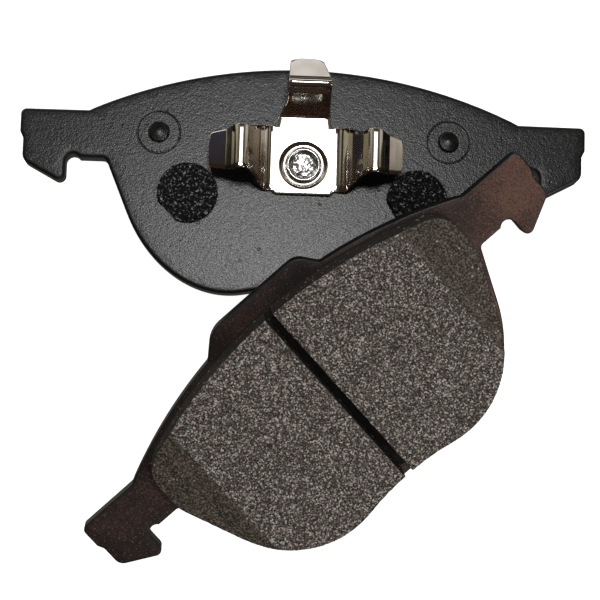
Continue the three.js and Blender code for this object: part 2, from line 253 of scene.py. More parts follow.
def plate_outline(with_tab):
    """The whole plate, counter-clockwise. The corners are listed clockwise and turned round."""
    half = plate_half(LONG_EDGE_RESUMES if with_tab else 0)
    tab = []
    if with_tab:
        edge = [AXLE_Y + math.sqrt(OUTER_EDGE_RADIUS ** 2 - x * x) for x in TAB_ROOTS]
        tab = [(TAB_ROOTS[0], edge[0], 1.5), (TAB_SHOULDERS[0], TAB_TOP, 5),
               (TAB_SHOULDERS[1], TAB_TOP, 8), (TAB_ROOTS[1], edge[1], 1.5)]
    return divided(rounded([*tab, *half, *mirrored(half)])[::-1], 1.6)


def lining_half(start):
    """The lining's right half, clockwise from x = start on its long edge."""
    return [
        *axle_arc(LINING_TOP_RADIUS, start, 45, 30),
        (LINING_END, 13.9, 8),
        (LINING_END, 0.4, 8),
        *bezier((45.4, -16), (39.9, -28.9), (28, -36.6), (14, -33.9), 26),
        *axle_arc(LINING_FOOT_RADIUS, 11, start, 8),
    ]


def shifted(loop, inset):
    """A counter-clockwise loop moved inwards; inset is one size or one for each point."""
    moved = []
    for i, at in enumerate(loop):
        before = (at - loop[i - 1]).normalized()
        after = (loop[(i + 1) % len(loop)] - at).normalized()
        side = Vector((-before.y, before.x))
        middle = (side + Vector((-after.y, after.x))).normalized()
        amount = inset if isinstance(inset, (int, float)) else inset[i]
        moved.append(at + middle * amount / max(0.5, middle.dot(side)))
    return moved


def ragged(loop, depth, size, seed):
    """A moulded or ground edge: the loop wanders in and out by up to depth, in waves of that size."""
    wander = [depth * noise.noise(Vector((p.x / size, p.y / size, seed))) for p in loop]
    return shifted(loop, wander)


# ---------------------------------------------------------------- mesh tools
RING_SIDES = 48


def inside(loop, points):
    """Which points lie in a loop, and how far each is from its nearest edge."""
    a = np.array(loop)
    b = np.roll(a, -1, axis=0)
    px, py = points[:, :1], points[:, 1:]
    crosses = (a[:, 1] > py) != (b[:, 1] > py)
    rise = np.where(b[:, 1] == a[:, 1], 1e-12, b[:, 1] - a[:, 1])
    hit = crosses & (px < a[:, 0] + (py - a[:, 1]) * (b[:, 0] - a[:, 0]) / rise)
    run = b - a
    t = ((px - a[:, 0]) * run[:, 0] + (py - a[:, 1]) * run[:, 1]) / (run ** 2).sum(1)
    t = np.clip(t, 0, 1)
    away = np.hypot(px - a[:, 0] - t * run[:, 0], py - a[:, 1] - t * run[:, 1])
    return hit.sum(1) % 2 == 1, away.min(1)


def ring_points(x, y, radius, count):
    """Points of a circle, counter-clockwise."""
    return [(x + radius * math.cos(a), y + radius * math.sin(a))
            for a in spaced(0, 2 * math.pi, count)[:-1]]


def filled(loop, spacing, reliefs=(), creases=()):
    """Triangles over the inside of a loop. reliefs are (x, y, [(radius, rise), ...], is_hole)."""
    points = [tuple(p) for p in loop]
    edges = [(i, (i + 1) % len(loop)) for i in range(len(loop))]
    for x, y, profile, _ in reliefs:
        for radius, _ in profile:
            if radius == 0:
                points.append((x, y))
                continue
            first = len(points)
            points += ring_points(x, y, radius, RING_SIDES)
            edges += [(first + k, first + (k + 1) % RING_SIDES) for k in range(RING_SIDES)]
    low, high = np.min(points, axis=0), np.max(points, axis=0)
    rows = np.arange(low[1], high[1], spacing * 0.87)
    grid = np.array([(px + (k % 2) * spacing / 2, py) for k, py in enumerate(rows)
                     for px in np.arange(low[0], high[0], spacing)])
    for line_x in creases:
        grid = grid[np.abs(grid[:, 0] - line_x) > spacing * 0.55]
        grid = np.vstack([grid, [(line_x, py) for py in rows]])
    within, away = inside(loop, grid)
    keep = within & (away > spacing * 0.45)
    for x, y, profile, _ in reliefs:
        keep &= np.hypot(grid[:, 0] - x, grid[:, 1] - y) > profile[0][0] + spacing * 0.4
    points += [tuple(p) for p in grid[keep]]
    flat, _, faces, *_ = delaunay_2d_cdt([Vector(p) for p in points], edges, [], 0, 1e-6)
    middles = np.array([(sum((flat[i] for i in f), Vector((0, 0))) / len(f))[:] for f in faces])
    solid, _ = inside(loop, middles)
    for x, y, profile, is_hole in reliefs:
        if is_hole:
            solid &= np.hypot(middles[:, 0] - x, middles[:, 1] - y) > profile[-1][0] * 0.999
    return flat, [f for f, good in zip(faces, solid) if good]


def rise_at(point, reliefs):
    """How far the reliefs lift a face at a point."""
    for x, y, profile, _ in reliefs:
        away = math.hypot(point[0] - x, point[1] - y)
        if away <= profile[0][0] + 1e-4:
            radii, rises = zip(*reversed(profile))
            return float(np.interp(away, radii, rises))
    return 0


def slab(loop, rim, low=None, high=None, warp=None, rim_share=None):
    """A closed plate. rim is [(inset, z), ...] from its low face up to its high face.

    low and high describe the two faces: spacing, reliefs and creases. Faces get material 0 and
    the rim gets material 1. warp(x, y, z) gives the final z of a point.
    """
    bm = bmesh.new()
    warp = warp or (lambda x, y, z: z)
    share = rim_share or [1] * len(loop)
    loops = []
    for inset, z in rim:
        line = shifted(loop, [inset * s for s in share])
        loops.append([bm.verts.new((p.x, p.y, warp(p.x, p.y, z))) for p in line])
    for lower, upper in zip(loops, loops[1:]):
        for i in range(len(loop)):
            j = (i + 1) % len(loop)
            bm.faces.new((lower[i], lower[j], upper[j], upper[i])).material_index = 1
    bores = []
    for (inset, z), face in ((rim[0], low), (rim[-1], high)):
        face = {"spacing": 4, "reliefs": (), "creases": (), **(face or {})}
        line = shifted(loop, [inset * s for s in share])
        flat, triangles = filled(line, face["spacing"], face["reliefs"], face["creases"])
        made = [bm.verts.new((p.x, p.y, warp(p.x, p.y, z) + rise_at(p, face["reliefs"]))) for p in flat]
        for triangle in triangles:
            bm.faces.new([made[i] for i in triangle]).material_index = 0
        for v in [v for v in made if not v.link_faces]:
            bm.verts.remove(v)
        for x, y, profile, is_hole in face["reliefs"]:
            if is_hole:
                radius, rise = profile[-1]
                bores.append([bm.verts.new((px, py, z + rise))
                              for px, py in ring_points(x, y, radius, RING_SIDES)])
    for lower, upper in zip(bores[::2], bores[1::2]):
        for i in range(RING_SIDES):
            j = (i + 1) % RING_SIDES
            bm.faces.new((lower[i], lower[j], upper[j], upper[i])).material_index = 1
    return bm


def turned(profile, x, y, sides=96):
    """A solid turned about an upright line, from (radius, z) pairs that start and end on it."""
    bm = bmesh.new()
    rings = []
    for radius, z in profile:
        if radius == 0:
            rings.append([bm.verts.new((x, y, z))])
        else:
            rings.append([bm.verts.new((px, py, z)) for px, py in ring_points(x, y, radius, sides)])
    for lower, upper in zip(rings, rings[1:]):
        for i in range(sides):
            j = (i + 1) % sides
            corners = [lower[i % len(lower)], lower[j % len(lower)],
                       upper[j % len(upper)], upper[i % len(upper)]]
            bm.faces.new(list(dict.fromkeys(corners)))
    return bm


def lofted(sections):
    """A closed skin over matching loops of points, its two ends filled."""
    bm = bmesh.new()
    rings = [[bm.verts.new(p) for p in section] for section in sections]
    for lower, upper in zip(rings, rings[1:]):
        for i in range(len(lower)):
            j = (i + 1) % len(lower)
            bm.faces.new((lower[i], lower[j], upper[j], upper[i]))
    bm.faces.new(rings[0][::-1])
    bm.faces.new(rings[-1])
    return bm


def piece(name, bm, place, materials, crease=35):
    """Makes the object: doubles merged, faces outwards, and its place put into its mesh."""
    bmesh.ops.remove_doubles(bm, verts=bm.verts, dist=0.002)
    bmesh.ops.recalc_face_normals(bm, faces=bm.faces)
    mesh = bpy.data.meshes.new(name)
    bm.to_mesh(mesh)
    bm.free()
    for finish in materials:
        mesh.materials.append(finish)
    mesh.transform(Matrix.Scale(MM, 4) @ place)
    mesh.shade_smooth()
    mesh.set_sharp_from_angle(angle=math.radians(crease))
    obj = bpy.data.objects.new(name, mesh)
    bpy.context.scene.collection.objects.link(obj)
    return obj


def mark_pad_frame(obj, place):
    """Stores each point's place in the pad's own frame, in mm, for patterns that follow the pad."""
    co = np.empty(len(obj.data.vertices) * 3)
    obj.data.vertices.foreach_get("co", co)
    back = np.array(place.inverted())
    local = (co.reshape(-1, 3) / MM) @ back[:3, :3].T + back[:3, 3]
    layer = obj.data.attributes.new("pad_mm", "FLOAT_VECTOR", "POINT")
    layer.data.foreach_set("vector", local.astype(np.float32).ravel())


def settle(obj, body, node):
    """Puts a piece on its body in place of one CAD solid."""
    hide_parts(node)
    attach(obj, body)


# ---------------------------------------------------------------- node tools
def colour(code):
    """A hex colour in sRGB as linear red, green, blue and alpha."""
    parts = [int(code[i:i + 2], 16) / 255 for i in (0, 2, 4)]
    linear = [p / 12.92 if p <= 0.04045 else ((p + 0.055) / 1.055) ** 2.4 for p in parts]
    return (*linear, 1)


def grain(size_mm):
    """The scale that gives a pattern features of this size in Object coordinates."""
    return 1 / (size_mm * MM)


def add(tree, kind, inputs=None, **settings):
    """Adds a node. inputs maps a socket's name or number to a value or to another socket."""
    made = tree.nodes.new(kind)
    for key, value in settings.items():
        setattr(made, key, value)
    for key, value in (inputs or {}).items():
        socket = made.inputs[key]
        if isinstance(value, bpy.types.NodeSocket):
            tree.links.new(value, socket)
        else:
            socket.default_value = value
    return made


def shades(tree, factor, stops):
    """A colour ramp through (position, hex) stops; its colour socket."""
    ramp = add(tree, "ShaderNodeValToRGB", {0: factor})
    marks = ramp.color_ramp.elements
    while len(marks) < len(stops):
        marks.new(1)
    for mark, (position, code) in zip(marks, stops):
        mark.position = position
        mark.color = colour(code)
    return ramp.outputs[0]


def material(name):
    """A new material, with its tree, its shader and Object coordinates."""
    made = bpy.data.materials.new(name)
    made.use_nodes = True
    tree = made.node_tree
    shader = tree.nodes["Principled BSDF"]
    place = add(tree, "ShaderNodeTexCoord").outputs["Object"]
    return made, tree, shader, place


def connect(tree, shader, **sockets):
    """Links sockets to the shader's inputs by short names."""
    names = {"base": "Base Color", "rough": "Roughness", "normal": "Normal", "metal": "Metallic"}
    for key, value in sockets.items():
        tree.links.new(value, shader.inputs[names[key]])


# ---------------------------------------------------------------- materials
def powder_coat():
    """Black polyester powder coat, sprayed and oven cured: satin, with orange peel and a few pits, which
    are painted a little darker as painted shade.
    """
    made, tree, shader, place = material("satin_black_powder_coat")
    peel = add(tree, "ShaderNodeTexNoise", {"Vector": place, "Scale": grain(1.0), "Detail": 2.0})
    fine = add(tree, "ShaderNodeTexNoise", {"Vector": place, "Scale": grain(0.45), "Detail": 2.0})
    broad = add(tree, "ShaderNodeTexNoise", {"Vector": place, "Scale": grain(30), "Detail": 3.0})
    pit = add(tree, "ShaderNodeTexVoronoi", {"Vector": place, "Scale": grain(4.5)})
    pits_with_painted_shade = add(tree, "ShaderNodeMapRange", {0: pit.outputs["Distance"], 1: 0.05, 2: 0.11})
    tone = shades(tree, broad.outputs[0], [(0.3, "090a0a"), (0.5, "0d0e0e"), (0.75, "151717")])
    # Painted shade: the sunk pits are coloured a little darker than the coat round them.
    base = add(tree, "ShaderNodeMix", {0: pits_with_painted_shade.outputs[0], 6: colour("0b0b0c"), 7: tone},
               data_type="RGBA")
    rough = add(tree, "ShaderNodeMapRange", {0: fine.outputs[0], 1: 0.3, 2: 0.7, 3: 0.24, 4: 0.31})
    relief = add(tree, "ShaderNodeMath", {0: peel.outputs[0], 1: fine.outputs[0]}, operation="ADD")
    relief = add(tree, "ShaderNodeMath", {0: relief.outputs[0], 1: pits_with_painted_shade.outputs[0]}, operation="ADD")
    bump = add(tree, "ShaderNodeBump", {"Height": relief.outputs[0], "Strength": 0.6,
                                        "Distance": 0.068 * MM})
    connect(tree, shader, base=base.outputs[2], rough=rough.outputs[0], normal=bump.outputs[0])
    return made


def primer():
    """Red-brown bonding primer on shot-blasted steel: dull, uneven, with glints from the blasted metal, and
    painted lighter towards +X as painted light from that side.
    """
    made, tree, shader, place = material("red_brown_bonding_primer")
    cloud = add(tree, "ShaderNodeTexNoise", {"Vector": place, "Scale": grain(16), "Detail": 5.0})
    blast = add(tree, "ShaderNodeTexNoise", {"Vector": place, "Scale": grain(0.5), "Detail": 3.0})
    along = add(tree, "ShaderNodeSeparateXYZ", {0: place}).outputs[0]
    # Painted light: over the first 60 mm towards +X the primer's colour is pushed lighter, standing in for
    # light falling from that side.
    painted_light_from_right = add(tree, "ShaderNodeMapRange", {0: along, 1: 0.0, 2: 0.06, 3: 0.0, 4: 0.16}).outputs[0]
    glint = add(tree, "ShaderNodeTexVoronoi", {"Vector": place, "Scale": grain(0.3)})
    picked = add(tree, "ShaderNodeSeparateColor", {0: glint.outputs["Color"]})
    bright = add(tree, "ShaderNodeMapRange", {0: picked.outputs[0], 1: 0.93, 2: 1.0, 4: 0.6}).outputs[0]
    mixed = add(tree, "ShaderNodeMath", {0: cloud.outputs[0], 1: blast.outputs[0]}, operation="ADD")
    even = add(tree, "ShaderNodeMath", {0: mixed.outputs[0], 1: 0.5, 2: painted_light_from_right}, operation="MULTIPLY_ADD")
    tone = shades(tree, even.outputs[0], [(0.42, "1a1110"), (0.5, "281a16"), (0.6, "493128"),
                                          (0.74, "7d5849")])
    base = add(tree, "ShaderNodeMix", {0: bright, 6: tone, 7: colour("a58570")}, data_type="RGBA")
    rough = add(tree, "ShaderNodeMapRange", {0: blast.outputs[0], 1: 0.3, 2: 0.7, 3: 0.45, 4: 0.65})
    bump = add(tree, "ShaderNodeBump", {"Height": mixed.outputs[0], "Strength": 0.7,
                                        "Distance": 0.14 * MM})
    connect(tree, shader, base=base.outputs[2], rough=rough.outputs[0], metal=bright,
            normal=bump.outputs[0])
    return made


def sheared_edge():
    """The plate's punched side wall under black coating: drawn vertical marks and a satin sheen."""
    made, tree, shader, place = material("black_coated_punched_edge")
    stretch = add(tree, "ShaderNodeMapping", {"Vector": place, "Scale": (1, 1, 0.12)})
    marks = add(tree, "ShaderNodeTexNoise", {"Vector": stretch.outputs[0], "Scale": grain(0.7),
                                             "Detail": 3.0})
    tone = shades(tree, marks.outputs[0], [(0.3, "0b0b0c"), (0.7, "1c1b1b")])
    bump = add(tree, "ShaderNodeBump", {"Height": marks.outputs[0], "Strength": 0.4,
                                        "Distance": 0.12 * MM})
    connect(tree, shader, base=tone, normal=bump.outputs[0])
    shader.inputs["Roughness"].default_value = 0.36
    return made


def friction_compound():
    """Pressed and ground resin compound: grey-brown grit with its sunk pores painted dark as painted shade,
    finer and grooved on the end ramps.
    """
    made, tree, shader, place = material("ground_friction_compound")
    pad = add(tree, "ShaderNodeAttribute", attribute_name="pad_mm").outputs["Vector"]
    along = add(tree, "ShaderNodeSeparateXYZ", {0: pad}).outputs[0]
    along = add(tree, "ShaderNodeMath", {0: along}, operation="ABSOLUTE").outputs[0]
    ramp = add(tree, "ShaderNodeMapRange", {0: along, 1: RAMP_START - 0.2, 2: RAMP_START + 0.2})
    ramp = ramp.outputs[0]
    coarse = add(tree, "ShaderNodeTexNoise", {"Vector": place, "Scale": grain(0.5), "Detail": 4.0,
                                              "Roughness": 0.8})
    cells = add(tree, "ShaderNodeTexVoronoi", {"Vector": place, "Scale": grain(0.36)})
    picked = add(tree, "ShaderNodeSeparateColor", {0: cells.outputs["Color"]}).outputs[0]
    speck = add(tree, "ShaderNodeMapRange", {0: picked, 1: 0.74, 2: 0.96, 3: 0.0, 4: 0.9}).outputs[0]
    # Painted shade: the lowest cells, which the bump also sinks, are coloured dark as pores in shade.
    hole = add(tree, "ShaderNodeMapRange", {0: picked, 1: 0.3, 2: 0.08, 3: 0.0, 4: 0.85}).outputs[0]
    tone = shades(tree, coarse.outputs[0], [(0.39, "1a1613"), (0.48, "4d4640"), (0.54, "70675f"),
                                            (0.63, "c2b8ac")])
    tone = add(tree, "ShaderNodeMix", {0: speck, 6: tone, 7: colour("f4ece2")}, data_type="RGBA").outputs[2]
    tone = add(tree, "ShaderNodeMix", {0: hole, 6: tone, 7: colour("2a2421")}, data_type="RGBA").outputs[2]
    groove_place = add(tree, "ShaderNodeMapping", {"Vector": pad, "Scale": (1, 0.03, 1)}).outputs[0]
    groove = add(tree, "ShaderNodeTexNoise", {"Vector": groove_place, "Scale": 1.5, "Detail": 4.0})
    groove = groove.outputs[0]
    ramp_tone = shades(tree, groove, [(0.38, "332c27"), (0.5, "4a423a"), (0.62, "6a5f53")])
    fine = add(tree, "ShaderNodeTexNoise", {"Vector": place, "Scale": grain(0.5), "Detail": 3.0}).outputs[0]
    ramp_tone = add(tree, "ShaderNodeMix", {0: 0.6, 6: ramp_tone, 7: shades(
        tree, fine, [(0.4, "171310"), (0.5, "453e36"), (0.62, "a09585")])}, data_type="RGBA").outputs[2]
    base = add(tree, "ShaderNodeMix", {0: ramp, 6: tone, 7: ramp_tone}, data_type="RGBA").outputs[2]
    rough = add(tree, "ShaderNodeMapRange", {0: picked, 3: 0.62, 4: 0.88}).outputs[0]
    height = add(tree, "ShaderNodeMath", {0: coarse.outputs[0], 1: picked}, operation="ADD").outputs[0]
    height = add(tree, "ShaderNodeMix", {0: ramp, 2: height, 3: groove}, data_type="FLOAT").outputs[0]
    bump = add(tree, "ShaderNodeBump", {"Height": height, "Strength": 0.9, "Distance": 0.2 * MM})
    connect(tree, shader, base=base, rough=rough, normal=bump.outputs[0])
    return made


def moulded_wall():
    """The lining's side, as it left the hot mould: a dark resin skin with grit showing through."""
    made, tree, shader, place = material("moulded_lining_wall")
    grit = add(tree, "ShaderNodeTexNoise", {"Vector": place, "Scale": grain(0.9), "Detail": 4.0})
    tone = shades(tree, grit.outputs[0], [(0.35, "100d0c"), (0.55, "221c19"), (0.72, "3c342e")])
    bump = add(tree, "ShaderNodeBump", {"Height": grit.outputs[0], "Strength": 0.8,
                                        "Distance": 0.3 * MM})
    connect(tree, shader, base=tone, normal=bump.outputs[0])
    shader.inputs["Roughness"].default_value = 0.75
    return made


def flecks():
    """Loose grains in the compound: steel wool, graphite, barytes and brown rubber crumb."""
    made, tree, shader, _ = material("mineral_and_steel_flecks")
    shade = add(tree, "ShaderNodeAttribute", attribute_name="shade").outputs["Fac"]
    tone = shades(tree, shade, [(0.0, "1b1715"), (0.3, "4b3c31"), (0.5, "7c6f63"), (0.75, "a89e94"),
                                (0.93, "d8d2ca")])
    metal = add(tree, "ShaderNodeMapRange", {0: shade, 1: 0.85, 2: 0.95, 3: 0.0, 4: 0.6})
    connect(tree, shader, base=tone, metal=metal.outputs[0])
    shader.inputs["Roughness"].default_value = 0.5
    return made


def bonded_underlayer():
    """Underlayer of fibre and resin, pressed between lining and plate: matt and nearly black."""
    made, tree, shader, place = material("bonded_underlayer")
    grit = add(tree, "ShaderNodeTexNoise", {"Vector": place, "Scale": grain(1.1), "Detail": 4.0})
    tone = shades(tree, grit.outputs[0], [(0.35, "0c0a09"), (0.65, "251d19")])
    bump = add(tree, "ShaderNodeBump", {"Height": grit.outputs[0], "Strength": 0.8,
                                        "Distance": 0.25 * MM})
    connect(tree, shader, base=tone, normal=bump.outputs[0])
    shader.inputs["Roughness"].default_value = 0.85
    return made


def black_felt():
    """Needled polyester felt with a self-adhesive back: dull black, wrinkled and hairy, with near-white
    flecks painted on as painted highlights of shiny fibres.
    """
    made, tree, shader, place = material("black_needled_felt")
    nap = add(tree, "ShaderNodeTexNoise", {"Vector": place, "Scale": grain(0.62), "Detail": 3.0,
                                           "Roughness": 0.75})
    # Painted highlights: the top of the nap noise runs from grey to near-white, standing in for glints on
    # shiny fibres.
    tone = shades(tree, nap.outputs[0], [(0.5, "030303"), (0.57, "0b0b0c"), (0.61, "86868a"),
                                         (0.67, "ececf0")])
    bump = add(tree, "ShaderNodeBump", {"Height": nap.outputs[0], "Strength": 1.0,
                                        "Distance": 0.4 * MM})
    connect(tree, shader, base=tone, normal=bump.outputs[0])
    shader.inputs["Roughness"].default_value = 0.7
    shader.inputs["Specular IOR Level"].default_value = 0.25
    return made


def spring_steel():
    """Bright rolled spring-steel strip: mirror-like, with faint rolling lines and tempering tint."""
    made, tree, shader, place = material("bright_rolled_spring_steel")
    stretch = add(tree, "ShaderNodeMapping", {"Vector": place, "Scale": (1, 0.04, 1)})
    lines = add(tree, "ShaderNodeTexNoise", {"Vector": stretch.outputs[0], "Scale": grain(0.8),
                                             "Detail": 4.0})
    cloud = add(tree, "ShaderNodeTexNoise", {"Vector": place, "Scale": grain(9), "Detail": 2.0})
    tone = shades(tree, cloud.outputs[0], [(0.35, "c9c2b8"), (0.65, "e3dfd9")])
    rough = add(tree, "ShaderNodeMapRange", {0: lines.outputs[0], 1: 0.3, 2: 0.7, 3: 0.06, 4: 0.13})
    bump = add(tree, "ShaderNodeBump", {"Height": lines.outputs[0], "Strength": 0.12,
                                        "Distance": 0.05 * MM})
    connect(tree, shader, base=tone, rough=rough.outputs[0], normal=bump.outputs[0])
    shader.inputs["Metallic"].default_value = 1
    return made


def zinc_rivet():
    """Zinc-plated rivet, its head spun over: bright and hammered-looking in the hollow."""
    made, tree, shader, place = material("zinc_plated_rivet_steel")
    dent = add(tree, "ShaderNodeTexVoronoi", {"Vector": place, "Scale": grain(1.3)}, feature="SMOOTH_F1")
    cloud = add(tree, "ShaderNodeTexNoise", {"Vector": place, "Scale": grain(2.5), "Detail": 2.0})
    tone = shades(tree, cloud.outputs[0], [(0.35, "b4b4b2"), (0.65, "e6e6e4")])
    bump = add(tree, "ShaderNodeBump", {"Height": dent.outputs["Distance"], "Strength": 0.35,
                                        "Distance": 0.12 * MM})
    connect(tree, shader, base=tone, normal=bump.outputs[0])
    shader.inputs["Metallic"].default_value = 1
    shader.inputs["Roughness"].default_value = 0.24
    return made


COAT = powder_coat()
PRIMER = primer()
EDGE = sheared_edge()
COMPOUND = friction_compound()
WALL = moulded_wall()
FLECKS = flecks()
UNDERLAYER = bonded_underlayer()
FELT = black_felt()
SPRING = spring_steel()
ZINC = zinc_rivet()


# ---------------------------------------------------------------- geometry nodes
def grain_shape(tree):
    """A round grain, one unit across."""
    return add(tree, "GeometryNodeMeshIcoSphere", {"Radius": 0.5, "Subdivisions": 1}).outputs[0]


def fibre_shape(tree):
    """A short bent hair, one unit long."""
    line = add(tree, "GeometryNodeCurveQuadraticBezier", {
        "Resolution": 4, "Start": (0, 0, 0), "Middle": (0.3, 0.1, 0.7), "End": (1, -0.1, 0.35)})
    section = add(tree, "GeometryNodeCurvePrimitiveCircle", {"Resolution": 3, "Radius": 0.045})
    swept = add(tree, "GeometryNodeCurveToMesh", {
        "Curve": line.outputs[0], "Profile Curve": section.outputs[0], "Fill Caps": True})
    return swept.outputs[0]


def gritty_surface(name, particle):
    """A tree that roughens a surface along its normals and sets small particles into it."""
    tree = bpy.data.node_groups.new(name, "GeometryNodeTree")
    tree.is_modifier = True
    sockets = [("Geometry", "Geometry"), ("Grain", "Float"), ("Relief", "Float"),
               ("Density", "Float"), ("Smallest", "Float"), ("Largest", "Float"),
               ("Flatness", "Float"), ("Seed", "Int"), ("Particle Material", "Material")]
    for label, kind in sockets:
        tree.interface.new_socket(label, in_out="INPUT", socket_type=f"NodeSocket{kind}")
    tree.interface.new_socket("Geometry", in_out="OUTPUT", socket_type="NodeSocketGeometry")
    given = add(tree, "NodeGroupInput").outputs
    at = add(tree, "GeometryNodeInputPosition").outputs[0]
    per_grain = add(tree, "ShaderNodeMath", {0: 1.0, 1: given["Grain"]}, operation="DIVIDE").outputs[0]
    rough = add(tree, "ShaderNodeTexNoise", {"Vector": at, "Scale": per_grain, "Detail": 2.0}).outputs[0]
    centred = add(tree, "ShaderNodeMath", {0: rough, 1: 0.5}, operation="SUBTRACT").outputs[0]
    rise = add(tree, "ShaderNodeMath", {0: centred, 1: given["Relief"]}, operation="MULTIPLY").outputs[0]
    normal = add(tree, "GeometryNodeInputNormal").outputs[0]
    offset = add(tree, "ShaderNodeVectorMath", {0: normal, "Scale": rise}, operation="SCALE").outputs[0]
    body = add(tree, "GeometryNodeSetPosition", {"Geometry": given["Geometry"], "Offset": offset})
    body = body.outputs[0]
    spots = add(tree, "GeometryNodeDistributePointsOnFaces", {
        "Mesh": body, "Density": given["Density"], "Seed": given["Seed"]})
    size = add(tree, "FunctionNodeRandomValue", {2: given["Smallest"], 3: given["Largest"]},
               data_type="FLOAT").outputs[1]
    thin = add(tree, "ShaderNodeMath", {0: size, 1: given["Flatness"]}, operation="MULTIPLY").outputs[0]
    narrow = add(tree, "ShaderNodeMath", {0: size, 1: 0.7}, operation="MULTIPLY").outputs[0]
    scale = add(tree, "ShaderNodeCombineXYZ", {0: size, 1: narrow, 2: thin}).outputs[0]
    placed = add(tree, "GeometryNodeInstanceOnPoints", {
        "Points": spots.outputs["Points"], "Instance": particle(tree),
        "Rotation": spots.outputs["Rotation"], "Scale": scale}).outputs[0]
    turn = add(tree, "FunctionNodeRandomValue", {2: 0.0, 3: 2 * math.pi, 8: 1}, data_type="FLOAT")
    spin = add(tree, "ShaderNodeCombineXYZ", {2: turn.outputs[1]}).outputs[0]
    placed = add(tree, "GeometryNodeRotateInstances", {"Instances": placed, "Rotation": spin}).outputs[0]
    shade = add(tree, "FunctionNodeRandomValue", {8: 2}, data_type="FLOAT").outputs[1]
    store = add(tree, "GeometryNodeStoreNamedAttribute", {"Geometry": placed, "Name": "shade"},
                data_type="FLOAT", domain="INSTANCE")
    tree.links.new(shade, next(s for s in store.inputs if s.name == "Value" and s.enabled))
    real = add(tree, "GeometryNodeRealizeInstances", {0: store.outputs[0]}).outputs[0]
    real = add(tree, "GeometryNodeSetMaterial", {"Geometry": real, "Material": given["Particle Material"]})
    joined = add(tree, "GeometryNodeJoinGeometry")
    tree.links.new(real.outputs[0], joined.inputs[0])
    tree.links.new(body, joined.inputs[0])
    add(tree, "NodeGroupOutput", {0: joined.outputs[0]})
    return tree


def grow(obj, tree, **values):
    """Runs a tree on a piece and keeps the plain mesh that it makes."""
    modifier = obj.modifiers.new(tree.name, "NODES")
    modifier.node_group = tree
    for item in tree.interface.items_tree:
        key = item.name.lower().replace(" ", "_")
        if item.item_type == "SOCKET" and item.in_out == "INPUT" and key in values:
            modifier[item.identifier] = values[key]
    depsgraph = bpy.context.evaluated_depsgraph_get()
    made = bpy.data.meshes.new_from_object(obj.evaluated_get(depsgraph))
    obj.modifiers.remove(modifier)
    made.name = obj.name
    obj.data = made


GRIT = gritty_surface("pressed_grit", grain_shape)
NAP = gritty_surface("felt_nap", fibre_shape)


# ---------------------------------------------------------------- plates
def pip_relief(side):
    """A half-pierced pip with a low crown, inside the fine groove that its die leaves."""
    return (side * PIP[0], PIP[1], [
        (COIN_RADIUS + 0.4, 0),
        (COIN_RADIUS + 0.22, 0),
        (COIN_RADIUS + 0.08, -0.07),
        (COIN_RADIUS - 0.08, -0.07),
        (COIN_RADIUS - 0.22, 0),
        (COIN_RADIUS - 0.4, 0),
        (PIP_RADIUS + 0.5, 0),
        (PIP_RADIUS + 0.3, 0),
        (PIP_RADIUS + 0.1, -0.07),
        (PIP_RADIUS - 0.04, 0.3),
        (PIP_RADIUS - 0.2, 0.44),
        (PIP_RADIUS - 1, 0.6),
        (0.8, 0.76),
        (0, 0.84),
    ], False)


def pocket_relief(side):
    """The pocket that a pip's punch leaves in the plate's other face."""
    return (side * PIP[0], PIP[1], [
        (PIP_RADIUS + 0.2, 0),
        (PIP_RADIUS, 0.2),
        (PIP_RADIUS - 0.05, POCKET_DEPTH),
        (0, POCKET_DEPTH),
    ], False)


# The punched plate's lower corner is crisp and its upper one is drawn down by the punch.
PLATE_RIM = [(0.35, PLATE_LOW), (0.12, PLATE_LOW + 0.06), (0, PLATE_LOW + 0.3), (0, PLATE_HIGH - 0.8),
             (0.06, PLATE_HIGH - 0.48), (0.2, PLATE_HIGH - 0.24), (0.48, PLATE_HIGH - 0.09),
             (0.8, PLATE_HIGH - 0.025), (1.12, PLATE_HIGH)]


def backing_plate(name, with_tab, place, body, back, front):
    """A punched plate with its pips, and the rivet's hole where it has no tab."""
    reliefs = [pip_relief(-1), pip_relief(1)]
    pockets = [pocket_relief(-1), pocket_relief(1)]
    if not with_tab:
        reliefs.append((0, RIVET_Y, [(RIVET_HOLE, 0)], True))
        pockets.append((0, RIVET_Y, [(4.75, 0), (4.7, 0.4), (RIVET_HOLE, COUNTERSINK_DEPTH)], True))
    bm = slab(plate_outline(with_tab), PLATE_RIM, {"spacing": 3, "reliefs": pockets},
              {"spacing": 2.2, "reliefs": reliefs})
    middle = (PLATE_LOW + PLATE_HIGH) / 2
    for face in bm.faces:
        if face.material_index == 0 and face.calc_center_median().z < middle:
            face.material_index = 2
    obj = piece(name, bm, place, [back, EDGE, front], crease=28)
    settle(obj, body, f"{body.split('_')[0]}_backing_plate")


# ---------------------------------------------------------------- lining
def ramp_rise(x, y, z):
    """The end ramps: the lining's face falls away towards both ends."""
    fall = max(0, (abs(x) - RAMP_START) * RAMP_DROP / (LINING_END - RAMP_START))
    return z + fall * max(0, 1 - z / LINING)


def lining_block(pad, side, place, body, seed):
    """One half of a lining. The outer pad lies turned over, so its left and right change places."""
    half = lining_half(SLOT / 2)
    loop = rounded(half)[::-1] if side > 0 else rounded(mirrored(half))[::-1]
    loop = ragged(divided(loop, 0.6), 0.1, 0.9, seed)
    rim = [(0.16, 0), (0.07, 0.03), (0.01, 0.12), (0, 0.5), (0, 2.4), (0, 4.6), (0, 7),
           (0, LINING - BOND)]
    bm = slab(loop, rim, {"spacing": 0.62, "creases": [side * RAMP_START]}, {"spacing": 5}, ramp_rise)
    label = "left" if (side < 0) == (pad == "inner") else "right"
    obj = piece(f"{pad}_lining_{label}", bm, place, [COMPOUND, WALL])
    grow(obj, GRIT, grain=0.9 * MM, relief=0.16 * MM, density=0.14 / MM ** 2, smallest=0.25 * MM,
         largest=0.85 * MM, flatness=0.28, seed=seed, particle_material=FLECKS)
    mark_pad_frame(obj, place)
    settle(obj, body, f"{pad}_friction_{label}")


